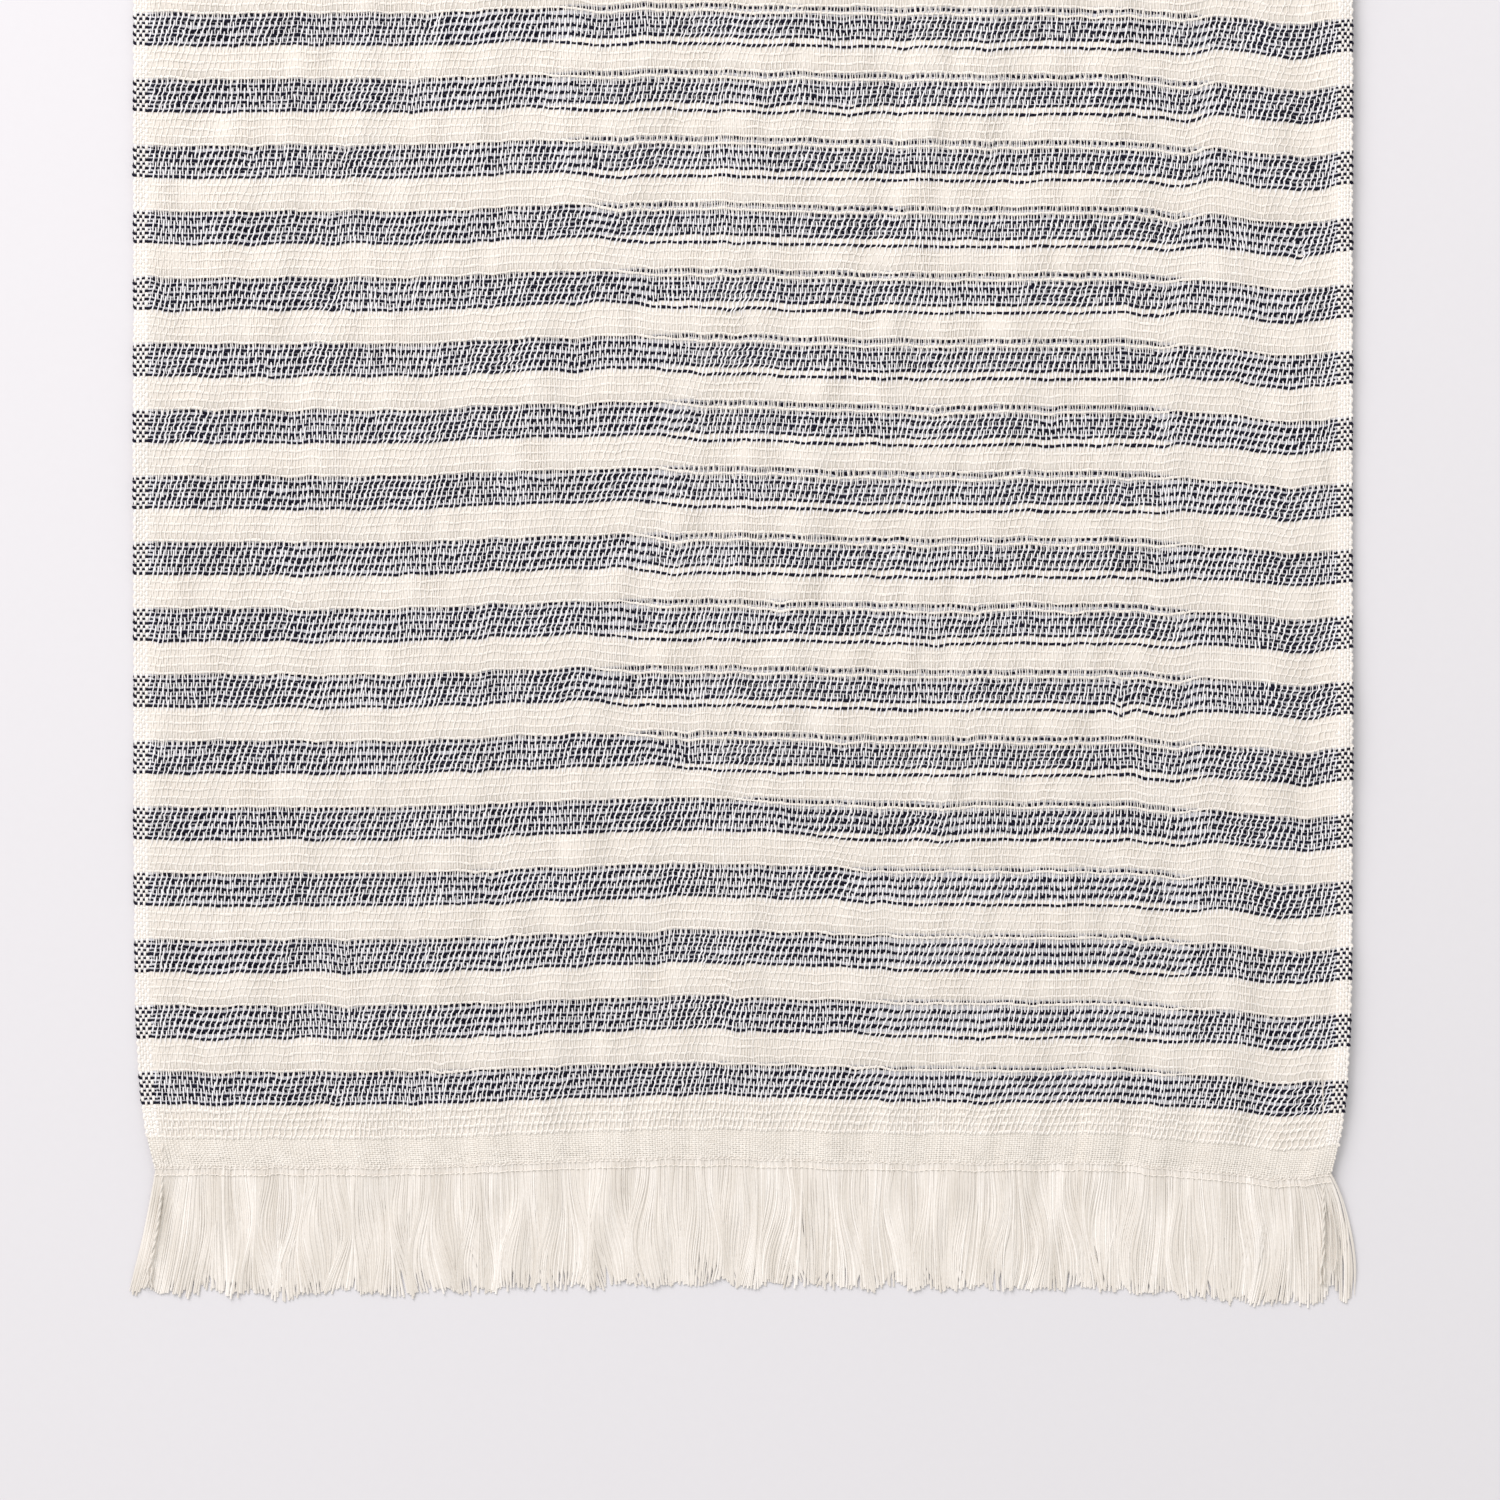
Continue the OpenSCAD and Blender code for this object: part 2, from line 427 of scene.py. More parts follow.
def tube_faces(count, rings, sides):
    """The walls and the two caps of closed tubes, as arrays of vertex numbers."""
    base = (np.arange(count)[:, None, None] * rings + np.arange(rings - 1)[None, :, None]) * sides
    a = base + np.arange(sides)
    b = base + (np.arange(sides) + 1) % sides
    walls = np.stack([a, b, b + sides, a + sides], -1).reshape(-1, 4)
    first = np.arange(count)[:, None] * rings * sides + np.arange(sides)
    caps = np.concatenate([first[:, ::-1], first + (rings - 1) * sides])
    return [walls, caps]


def mesh_object(name, verts, faces, smooth=True):
    """An object from a vertex array and a list of face arrays."""
    mesh = bpy.data.meshes.new(name)
    corners = np.concatenate([f.ravel() for f in faces]).astype(np.int32)
    sizes = np.concatenate([np.full(len(f), f.shape[1]) for f in faces])
    mesh.vertices.add(len(verts))
    mesh.vertices.foreach_set("co", verts.astype(np.float32).ravel())
    mesh.loops.add(len(corners))
    mesh.loops.foreach_set("vertex_index", corners)
    mesh.polygons.add(len(sizes))
    mesh.polygons.foreach_set("loop_start", (np.cumsum(sizes) - sizes).astype(np.int32))
    mesh.polygons.foreach_set("use_smooth", np.full(len(sizes), smooth))
    mesh.update(calc_edges=True)
    piece = bpy.data.objects.new(name, mesh)
    bpy.context.scene.collection.objects.link(piece)
    return piece


def joined(name, parts):
    """Joins new objects that have no materials yet into one."""
    with bpy.context.temp_override(active_object=parts[0], selected_editable_objects=parts):
        bpy.ops.object.join()
    parts[0].name = name
    parts[0].data.name = name
    return parts[0]


def paint(piece, layer_name, values):
    """Stores a value at each vertex, for the yarn's material to read: navy_share, how much
    navy yarn lies round it, or the strand's tone, how light it is, which in the fringe carries
    painted shade."""
    layer = piece.data.attributes.new(layer_name, "FLOAT", "POINT")
    layer.data.foreach_set("value", np.asarray(values, np.float32).ravel())


def finish_piece(piece, slot, *nodes):
    """Dresses a piece in its slot's material and ties it to the frame."""
    piece.data.materials.append(MATERIALS[slot])
    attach(piece, "root")
    if nodes:
        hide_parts(*nodes)
    return piece


# ---------------------------------------------------------------- materials

ROUGHNESS = (0.82, 0.98)
FIBRE_SCALE = 900.0            # size of the fibres' noise and depth of their bump
FIBRE_DEPTH = 0.1 * MM


def new_material(name):
    material = bpy.data.materials.new(name)
    material.use_nodes = True
    return material, material.node_tree.nodes, material.node_tree.links


def add_noise(nodes, links, place, scale, detail):
    noise = nodes.new("ShaderNodeTexNoise")
    noise.inputs["Scale"].default_value = scale
    noise.inputs["Detail"].default_value = detail
    links.new(place.outputs["Object"], noise.inputs["Vector"])
    return noise


def add_ramp(nodes, links, source, dark, light, span):
    """Colour from dark to light while the source goes through the span."""
    ramp = nodes.new("ShaderNodeValToRGB")
    for stop, colour, position in zip(ramp.color_ramp.elements, (dark, light), span):
        stop.position = position
        stop.color = (*colour, 1)
    links.new(source, ramp.inputs["Fac"])
    return ramp.outputs["Color"]


def add_tint(nodes, links, colour, layer_name, tint_colour):
    """Tints a colour as far as the value painted on the mesh says."""
    share = nodes.new("ShaderNodeAttribute")
    share.attribute_name = layer_name
    tint = nodes.new("ShaderNodeMix")
    tint.data_type = "RGBA"
    tint.blend_type = "MULTIPLY"
    tint.inputs["B"].default_value = (*tint_colour, 1)
    links.new(share.outputs["Fac"], tint.inputs["Factor"])
    links.new(colour, tint.inputs["A"])
    return tint.outputs["Result"]


def yarn_material(name, dark, light, sheen=0.25, patch=55.0, navy_tint=None, toned_and_shaded=None):
    """Matt cotton yarn: colour drifts from dark to light, over patches and from fibre to
    fibre, and the fibres show in the bump too. The navy tint is given as far as navy yarn lies
    round it: lighter and cooler on the warp, and on the ground sheet cooler and darker, partly
    for the navy back picks and partly as painted shade. The tone tint is that of the lightest
    strands, given as far as their tone says; in the fringe that tone carries painted shade."""
    material, nodes, links = new_material(name)
    shader = nodes["Principled BSDF"]
    place = nodes.new("ShaderNodeTexCoord")
    slow = add_noise(nodes, links, place, patch, 3)
    fine = add_noise(nodes, links, place, FIBRE_SCALE, 2)
    both = nodes.new("ShaderNodeMix")
    both.data_type = "FLOAT"
    both.inputs["Factor"].default_value = 0.6
    links.new(slow.outputs["Fac"], both.inputs["A"])
    links.new(fine.outputs["Fac"], both.inputs["B"])
    colour = add_ramp(nodes, links, both.outputs["Result"], dark, light, (0.33, 0.67))
    # navy tint: lighter and cooler on the warp; on the ground sheet partly the navy back picks,
    # partly painted shade
    if navy_tint:
        colour = add_tint(nodes, links, colour, "navy_share", navy_tint)
    # tone tint: in the fringe the tone carries painted shade
    if toned_and_shaded:
        colour = add_tint(nodes, links, colour, "tone_and_shade", toned_and_shaded)
    links.new(colour, shader.inputs["Base Color"])
    rough = nodes.new("ShaderNodeMapRange")
    rough.inputs["To Min"].default_value = ROUGHNESS[0]
    rough.inputs["To Max"].default_value = ROUGHNESS[1]
    links.new(fine.outputs["Fac"], rough.inputs["Value"])
    links.new(rough.outputs["Result"], shader.inputs["Roughness"])
    shader.inputs["Specular IOR Level"].default_value = 0.15
    shader.inputs["Sheen Weight"].default_value = sheen
    shader.inputs["Sheen Roughness"].default_value = 0.5
    hair = nodes.new("ShaderNodeBump")
    hair.inputs["Strength"].default_value = 0.25
    hair.inputs["Distance"].default_value = FIBRE_DEPTH
    links.new(fine.outputs["Fac"], hair.inputs["Height"])
    links.new(hair.outputs["Normal"], shader.inputs["Normal"])
    return material


def floor_material():
    material, nodes, links = new_material("pale_floor")
    shader = nodes["Principled BSDF"]
    place = nodes.new("ShaderNodeTexCoord")
    grain = add_noise(nodes, links, place, 260, 4).outputs["Fac"]
    colour = add_ramp(nodes, links, grain, (0.736, 0.720, 0.734), (0.751, 0.735, 0.749), (0, 1))
    links.new(colour, shader.inputs["Base Color"])
    shader.inputs["Roughness"].default_value = 0.85
    shader.inputs["Specular IOR Level"].default_value = 0.2
    return material


MATERIALS = {
    "navy_weft_yarn": yarn_material("navy_yarn", (0.0045, 0.004, 0.0095), (0.0115, 0.011, 0.027),
                                    sheen=0.0),
    "cream_weft_yarn": yarn_material("cream_yarn", (0.82, 0.765, 0.69), (0.885, 0.84, 0.78)),
    # the warp is tinted lighter and cooler where it crosses the navy stripes
    "warp_yarn": yarn_material("warp_yarn", (0.845, 0.795, 0.73), (0.905, 0.865, 0.81),
                               navy_tint=(1.115, 1.155, 1.25)),
    # ground sheet: darker than the yarns, as painted shade in their gaps; its navy tint is partly
    # the navy back picks and partly painted shade
    "back_cloth": yarn_material("back_ground_painted_shade", (0.745, 0.69, 0.61), (0.80, 0.75, 0.68),
                                navy_tint=(0.812, 0.872, 1.015)),
    "selvedge_yarn": yarn_material("selvedge_yarn", (0.86, 0.81, 0.75), (0.93, 0.895, 0.855)),
    "band_yarn": yarn_material("band_yarn", (0.80, 0.748, 0.672), (0.87, 0.825, 0.757),
                               patch=110.0),
    # fringe yarn: darker than the warp it comes from, as painted shade among the strands; its
    # tone tint carries more painted shade
    "fringe_yarn": yarn_material("fringe_yarn", (0.70, 0.645, 0.57), (0.75, 0.70, 0.63),
                                 toned_and_shaded=(1.28, 1.31, 1.37)),
}

# ---------------------------------------------------------------- weaving

FACE = cloth_grid(True)
BACK = cloth_grid(False)
LEFT = selvedge_grid(-1)
RIGHT = selvedge_grid(1)


def along_pick(grid, row, share, two_rings=True):
    """Points of one pick through a grid, from its first end to its last. At each crossing it
    has two rings, a share of the way to its neighbours, or one."""
    middle = grid.points()[:, row]
    step = grid.slope(0)[:, row]
    rise = np.where(grid.over[:, row], PICK_CRIMP, -PICK_CRIMP)
    shares = (-share, share) if two_rings else (0.0,)
    rings = np.stack([middle + s * step for s in shares], 1)
    rings[..., 2] += rise[:, None]
    return rings.reshape(-1, 3)


def turn_loop(point, side, way):
    """Rings that carry a pick round the mat's outer edge towards the next pick."""
    radius = ROW_PITCH / 4
    loop = np.zeros((len(TURN_ANGLES), 3)) + point
    loop[:, 0] += side * radius * TURN_DEPTH * np.sin(TURN_ANGLES)
    loop[:, 1] += way * radius * (1 - np.cos(TURN_ANGLES))
    return loop


def pick_path(grid, row, face):
    """One pick from loop to loop: left selvedge, cloth, right selvedge."""
    both = 2 * row + (0 if face else 1)
    way = 1 if both % 2 == 0 else -1
    left = along_pick(LEFT, both, 0.25)
    left = left[np.argsort(left[:, 0])]
    body = along_pick(grid, row, 0.27, two_rings=face)
    right = along_pick(RIGHT, both, 0.25)
    start = turn_loop(left[0], -1, way)[::-1]
    stop = turn_loop(right[-1], 1, -way)
    return np.concatenate([start, left, body, right, stop])


def slub_widths(seed, shape, spread):
    """Thick and thin places along each yarn, as in slub cotton, as factors about 1."""
    uneven = smooth_noise(seed, *shape, window=7, margin=8)
    return np.clip(1 + spread * uneven, 0.6, 1.5)


def weave_picks(name, stripe, slot, node):
    """The face and back picks of one stripe, counted from 0 at the front, as one piece."""
    rows = range(stripe * ROWS_PER_STRIPE, (stripe + 1) * ROWS_PER_STRIPE)
    rough = end_share(rows[0])
    half_w, half_t = NAVY_HALF if slot == "navy_weft_yarn" else CREAM_HALF
    half_w = half_w * (1 + ROUGH_PICK_WIDTH * rough)
    half_t = half_t * (1 + ROUGH_PICK_DEPTH * rough)
    parts = []
    for grid, face, section in ((FACE, True, FACE_SECTION), (BACK, False, BACK_SECTION)):
        paths = np.stack([pick_path(grid, row, face) for row in rows])
        slub = slub_widths(100 + 2 * stripe + face, paths.shape[:2], PICK_SLUB)
        wide = half_w * slub * (1 if face else BACK_PICK_WIDTH)
        wide[:, :SELVEDGE_RINGS] = SELVEDGE_PICK_WIDTH[slot]
        wide[:, -SELVEDGE_RINGS:] = SELVEDGE_PICK_WIDTH[slot]
        label = f"{name}_{'face' if face else 'back'}"
        parts.append(tube_mesh(label, paths, wide, half_t * slub, *section))
    return finish_piece(joined(name, parts), slot, node)


LEAN = 0.42                    # how far a float leans, as a share of END_PITCH
LEAN_WAVE = 0.26
LEAN_DRAWN = 0.35              # how much more it leans where the right edge is drawn down
LEAN_DRAWN_AT = (224 * MM, 12 * MM)


def lean(middle):
    """How far the float of an end over a pick leans to the right."""
    drawn = LEAN_DRAWN * bell(middle[..., 0], *LEAN_DRAWN_AT)
    share = LEAN + drawn + LEAN_WAVE * lean_wave(middle[..., 0], middle[..., 1])
    return np.maximum(share, -0.05) * END_PITCH


def end_paths(grid, ends, crimp, two_rings=True, leaning=False):
    """Points of warp ends along the cloth, with one or two rings at each crossing. If they
    are leaning, a float over a pick leans to one side and comes back under the next."""
    middle = grid.points()[ends]
    over = ~grid.over[ends]
    rise = np.where(over, crimp, -crimp)
    if not two_rings:
        middle[..., 2] += rise
        return middle
    step = 0.24 * grid.slope(1)[ends]
    if leaning:
        step[..., 0] += np.where(over, 0.5, -0.5) * lean(middle)
    rings = np.stack([middle - step, middle + step], 2)
    rings[..., 2] += rise[..., None]
    return rings.reshape(len(middle), -1, 3)


def weave_ends(name, grid, ends, face):
    """One group of warp ends of the face cloth or the back cloth, as one piece."""
    rough = end_share(np.arange(ROWS))
    cream_crimp = CREAM_END_CRIMP * (1 + ROUGH_END_CRIMP * rough)
    crimp = np.where(grid.navy > 0.5, NAVY_END_CRIMP, cream_crimp)
    crimp = crimp * (1 if face else BACK_END_CRIMP)
    rings = 2 if face else 1
    sides, turn = FACE_SECTION if face else BACK_SECTION
    paths = end_paths(grid, ends, crimp, two_rings=face, leaning=face)
    slub = slub_widths(int(ends[0]) + 500 * face, paths.shape[:2], END_SLUB)
    slub = slub * (1 + np.repeat(ROUGH_END_WIDTH * rough + NAVY_END_SPREAD * grid.navy, rings))
    wide = END_HALF[0] * slub * (1 if face else BACK_END_WIDTH)
    piece = tube_mesh(name, paths, wide, END_HALF[1] * slub, sides, turn)
    # the warp is tinted lighter and cooler where it crosses the navy stripes
    paint(piece, "navy_share", np.tile(np.repeat(grid.navy, sides * rings), len(paths)))
    return finish_piece(piece, "warp_yarn")


def weave_selvedge(name, grid, node):
    """The ends of one selvedge. Each tube stands for two yarns side by side."""
    crimp = SELVEDGE_CRIMP + NAVY_SELVEDGE_CRIMP * (grid.navy > 0.5)
    paths = end_paths(grid, slice(None), crimp)
    slub = slub_widths(900 + len(node), paths.shape[:2], HELD_SLUB)
    wide = SELVEDGE_END_WIDTHS[:, None] * slub
    piece = tube_mesh(name, paths, wide, SELVEDGE_END_DEPTH * slub)
    return finish_piece(piece, "selvedge_yarn", node)


def two_digits(number):
    return f"{number:02d}"


def weave_body():
    """Everything between the end bands but the ground sheet."""
    for k in range(STRIPES):
        label = two_digits(k + 1)
        weave_picks(f"navy_picks_{label}", 2 * k + 1, "navy_weft_yarn", f"navy_weft_{label}")
    for k in range(STRIPES + 1):
        label = two_digits(k + 1)
        weave_picks(f"cream_picks_{label}", 2 * k, "cream_weft_yarn", f"cream_weft_{label}")
    for label, grid, face, groups, node in (("face_ends", FACE, True, 8, "upper_warp"),
                                            ("back_ends", BACK, False, 4, "lower_warp")):
        made = [weave_ends(f"{label}_{k + 1}", grid, ends, face)
                for k, ends in enumerate(np.array_split(np.arange(ENDS), groups))]
        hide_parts(node)
    weave_selvedge("left_selvedge_ends", LEFT, "left_selvedge")
    weave_selvedge("right_selvedge_ends", RIGHT, "right_selvedge")


# ---------------------------------------------------------------- the ends of the mat

def band_grid(end):
    """Crossings of one end band, where an end of each cloth lies side by side in one dense
    plain weave between the selvedges."""
    edge = selvedge_columns()
    inner = np.linspace(-BODY_X, BODY_X, ENDS)
    rng = np.random.default_rng(61 + end)
    spread = waves(62 + end, (0.006, 0.030), (1.0, 2.0))
    inner = inner + BAND_WAVE_SIZE * spread(inner, 0 * inner)
    rows = BODY_Y + (np.arange(BAND_PICKS) + 0.5) * (BAND_Y - BODY_Y) / BAND_PICKS
    u, v = np.meshgrid(np.concatenate([-edge[::-1], inner, edge]), end * rows, indexing="ij")
    x = u * narrowing(v) + BAND_SCATTER * rng.standard_normal(u.shape)
    y = v + sway(u, v) + BAND_SCATTER * rng.standard_normal(u.shape)
    z = BAND_Z + height(u, v) + BAND_SCATTER * rng.standard_normal((len(u), 1))
    return Grid(x, y, z)


def weave_band(end, label):
    """One end band: its picks, its ends in pairs and the heavier pick that starts it."""
    grid = band_grid(end)
    pitch = end * (BAND_Y - BODY_Y) / BAND_PICKS
    picks = grid.points().swapaxes(0, 1).copy()
    picks[..., 2] += np.where(grid.over.T, BAND_PICK_CRIMP, -BAND_PICK_CRIMP)
    guard = picks[:1].copy()
    guard[..., 1] -= GUARD_BACK * pitch
    guard[..., 2] += GUARD_RAISE
    middle, step = grid.points(), 0.22 * grid.slope(1)
    ends = np.stack([middle - step, middle + step], 2)
    ends[..., 2] += np.where(grid.over, -BAND_END_CRIMP, BAND_END_CRIMP)[..., None]
    ends = ends.reshape(len(middle), -1, 3)
    first, last = ends[:, :1].copy(), ends[:, -1:].copy()
    first[..., 1] -= BAND_END_REACH[0] * pitch
    last[..., 1] += BAND_END_REACH[1] * pitch
    ends = np.concatenate([first, ends, last], 1)
    picks_wide = BAND_PICK_HALF[0] * slub_widths(65 + end, picks.shape[:2], HELD_SLUB)
    ends_wide = BAND_END_HALF[0] * slub_widths(67 + end, ends.shape[:2], HELD_SLUB)
    parts = [
        tube_mesh(f"{label}_guard_pick", guard, *GUARD_HALF),
        tube_mesh(f"{label}_band_picks", picks, picks_wide, BAND_PICK_HALF[1]),
        tube_mesh(f"{label}_band_ends", ends, ends_wide, BAND_END_HALF[1]),
    ]
    return finish_piece(joined(f"{label}_band_weave", parts), "band_yarn", f"{label}_end_band")


def make_locking_picks(end, label):
    """Two loose picks that zigzag over and under pairs of strands at the fringe's root."""
    count = 2 * ENDS
    x = np.linspace(-EDGE_X, EDGE_X, count)
    band_y = 0 * x + end * BAND_Y
    rng = np.random.default_rng(71 + end)
    paths = []
    for row, beyond in enumerate(LOCKING_PLACES):
        over = np.where((np.arange(count) // 2 + row) % 2 == 0, 1, -1)
        y = end * (BAND_Y + beyond) + sway(x, band_y) + LOCKING_ZIGZAG * over
        y = y + LOCKING_SCATTER * rng.standard_normal(count)
        z = LOCKING_Z + height(x, band_y) + LOCKING_CRIMP * over
        paths.append(np.stack([x * narrowing(band_y), y, z], -1))
    piece = tube_mesh(f"{label}_locking_yarns", np.array(paths), *LOCKING_HALF)
    paint(piece, "tone_and_shade", np.full(len(piece.data.vertices), LOCKING_TONE))
    return finish_piece(piece, "fringe_yarn", f"{label}_locking_picks")


# ---------------------------------------------------------------- fringes
# A strand is rooted at some x at the band and lies from t = 0 there to t = 1 at its tip.

STRAND_RINGS = 16
ROOT_MARGIN = 1.2 * MM         # from the outermost root to the mat's edge
TUCK = 0.8 * MM                # how far the roots reach under the band
FLAT_WIDTH = (1.20 * MM, 0.35 * MM)    # least half width of a flat end, and what chance adds
FLAT_DEPTH = 0.10 * MM
PLY_WIDTH = (0.29 * MM, 0.10 * MM)     # the same of a round ply
PLY_FLATNESS = 0.6
FLOW_BROAD = 2.8 * MM          # sizes of the sideways flow, from wide bunches to fine ones
FLOW_MIDDLE = 1.9 * MM
FLOW_FINE = 0.70 * MM
SPLAY_LEFT = 11.5 * MM         # how far the corners spread
SPLAY_RIGHT = 9.0 * MM
ROOT_SCATTER = 0.15 * MM
STRAYS = 0.07                  # share of the upper strands that stray from their bunch
DRIFT = 0.30 * MM              # a strand's own drift and curl, and how many times as far a
CURL = 0.16 * MM               # stray goes
STRAY_DRIFT = 5.0
STRAY_CURL = 3.0
RAGGED_WAVE = 0.9 * MM         # how uneven the lengths are, from bunch to bunch and between
RAGGED_SCATTER = 0.7 * MM      # neighbours
LOWER_SHORTER = 1.2 * MM
NOTCH = 0.16                   # share by which the strands near the right corner are shorter
NOTCH_AT = (243 * MM, 2.2 * MM)
START_Z = (0.50 * MM, 0.72 * MM)       # of the lower and the upper layer, at the band
REST_Z = (0.42 * MM, 0.62 * MM)        # and on the floor
LAYER_Z = 0.12 * MM            # how much single strands, and then bunches, lie above that
BUNCH_Z = 0.34 * MM
STRAND_TONE = 0.29
# painted light on the upper layer, which leaves the lower layer in painted shade
UPPER_PAINTED_LIGHT = 0.12              # added in the upper layer
LIGHT_STRANDS = 0.14           # share of the upper strands that are lighter, and by how much
LIGHT_TONE = 0.5
TONE_SCATTER = 0.10
# painted shade that drifts across the fringe's bunches
PAINTED_BUNCH_SHADE = 0.15
CORNER_TONE = 0.15
LOCKING_TONE = 0.6


def flow(seed):
    """Sideways flow of the fringe: where a strand rooted at x has drifted to at share t of its
    length. Neighbours drift alike, so the strands bunch and part softly."""
    broad = waves(seed + 1, (0.035, 0.110), (1.6, 3.6), 8)
    middle = waves(seed + 2, (0.014, 0.032), (1.2, 2.6), 8)
    fine = waves(seed + 3, (0.005, 0.011), (1.6, 3.5), 8)

    def shift(x, t):
        grown = smoothstep(t * 1.3)
        bunches = FLOW_BROAD * broad(x, t) + FLOW_MIDDLE * middle(x, t)
        return bunches * grown + FLOW_FINE * fine(x, t) * t

    return shift


def splay(root, t):
    """Outward spread of the strands at both corners. On the right they bow out from the root,
    on the left they fan out towards their tips."""
    edge = smoothstep((np.abs(root) - 212 * MM) / (38 * MM))
    left = -SPLAY_LEFT * edge * t**1.2
    right = SPLAY_RIGHT * edge**2 * (1 - (1 - t) ** 3.5)
    return np.where(root < 0, left, right)


def strand_sides(rng, end, seed, root, t, upper):
    """x of each ring of the strands rooted at root, a column, at the shares t, a row."""
    count = len(root)
    shift = flow(seed - upper)(root, t)
    if upper:
        shift = 0.3 * shift + 0.9 * flow(seed + 20)(root, t)
    shift = shift * (1 - 0.8 * smoothstep((np.abs(root) - 215 * MM) / (30 * MM)))
    stray = rng.random((count, 1)) < STRAYS * upper
    own = DRIFT * rng.standard_normal((count, 1)) * np.where(stray, STRAY_DRIFT, 1)
    curl = CURL * rng.standard_normal((count, 1)) * np.where(stray, STRAY_CURL, 1)
    phase = rng.uniform(0, 2 * np.pi, (count, 1))
    x = root * narrowing(end * BAND_Y) + shift + splay(root, t) + own * t
    return x + curl * np.sin(2.2 * np.pi * t + phase) * np.minimum(4 * t, 1)


def strand_lengths(rng, seed, root, upper):
    """Length of each strand beyond the band: ragged, shorter in the lower layer and at one
    notch near the right corner."""
    ragged = waves(seed + 30 - upper, (0.006, 0.040), (1.0, 2.0))(root, 0 * root)
    long = TIP_Y - BAND_Y - (0 if upper else LOWER_SHORTER) + RAGGED_WAVE * ragged
    long = long + RAGGED_SCATTER * rng.standard_normal(root.shape)
    return long * (1 - NOTCH * bell(root, *NOTCH_AT))


def strand_heights(rng, end, seed, root, t, x, upper):
    """z of each ring: from the band down to the floor, where bunches lie over each other."""
    layer = rng.random(root.shape)
    bunch = waves(seed + 40 - upper, (0.008, 0.030), (1.0, 2.4))(x, t)
    rest = REST_Z[upper] + LAYER_Z * layer
    rest = rest + BUNCH_Z * np.maximum(1 + bunch, 0) * smoothstep(t * 2)
    rest = rest * (1 - 0.5 * t**4)
    start = START_Z[upper] + height(root, 0 * root + end * BAND_Y)
    return start + (rest - start) * smoothstep(t * 2)


def strand_tones_and_shade(rng, seed, root, t, x, upper):
    """How light each ring is, from 0 to 1: it differs at random, and painted shade darkens the
    lower layer and drifts across the bunches. Some upper strands are much lighter.
    """
    light = rng.random(root.shape) < LIGHT_STRANDS * upper
    own = np.where(light, LIGHT_TONE, TONE_SCATTER * rng.standard_normal(root.shape))
    # painted light on the upper layer and painted shade drifting across the bunches
    tone_and_shade = STRAND_TONE + UPPER_PAINTED_LIGHT * upper + own
    tone_and_shade = tone_and_shade + PAINTED_BUNCH_SHADE * waves(seed + 50, (0.006, 0.030), (0.9, 2.4))(x, t)
    return np.clip(tone_and_shade, 0, 1)


def strand_paths(end, seed, count, upper):
    """Points of one layer of loose strands, (strands, rings, 3), and each ring's tone, which
    carries painted shade. upper is 1 for the layer on top, 0 for the one below."""
    rng = np.random.default_rng(seed)
    root = np.linspace(-1, 1, count)[:, None] * (EDGE_X - ROOT_MARGIN)
    root = root + ROOT_SCATTER * rng.standard_normal(root.shape)
    t = np.linspace(0, 1, STRAND_RINGS)[None, :]
    x = strand_sides(rng, end, seed, root, t, upper)
    long = strand_lengths(rng, seed, root, upper)
    y = end * (BAND_Y - TUCK + (long + TUCK) * t) + sway(root, 0 * root + end * BAND_Y)
    z = strand_heights(rng, end, seed, root, t, x, upper)
    return np.stack([x, y, z], -1), strand_tones_and_shade(rng, seed, root, t, x, upper)


def make_fringe(end, label, seed):
    """Two layers of loose strands: a lower one of flattened, half untwisted ends and round
    plies over it, with slightly swollen cut tips."""
    rng = np.random.default_rng(seed + 7)
    low, low_tone_and_shade = strand_paths(end, seed + 100, ENDS + ENDS // 2, 0)
    high, high_tone_and_shade = strand_paths(end, seed + 101, 2 * ENDS, 1)
    t = np.linspace(0, 1, STRAND_RINGS)[None, :]
    wide = FLAT_WIDTH[0] + FLAT_WIDTH[1] * rng.random((len(low), 1))
    wide = wide * (1 - 0.8 * smoothstep(t * 5 - 4))
    wide = wide * (1 - 0.6 * smoothstep((np.abs(low[:, :1, 0]) - 228 * MM) / (12 * MM)))
    thick = PLY_WIDTH[0] + PLY_WIDTH[1] * rng.random((len(high), 1))
    thick = thick * (1 + 0.3 * smoothstep(t * 9 - 8))
    sides, turn = FACE_SECTION
    parts = [
        tube_mesh(f"{label}_flat_ends", low, wide, FLAT_DEPTH, sides, turn),
        tube_mesh(f"{label}_round_plies", high, thick, PLY_FLATNESS * thick, sides, turn),
    ]
    piece = joined(f"{label}_fringe_strands", parts)
    paint(piece, "tone_and_shade", np.repeat(np.concatenate([low_tone_and_shade, high_tone_and_shade]), sides, axis=1))
    return finish_piece(piece, "fringe_yarn", f"{label}_fringe")


# ---------------------------------------------------------------- corner yarns
# Routes of the edge yarns that end at the corners. Each point is the way in from the mat's
# edge, the way beyond the band, and the height, in millimetres.

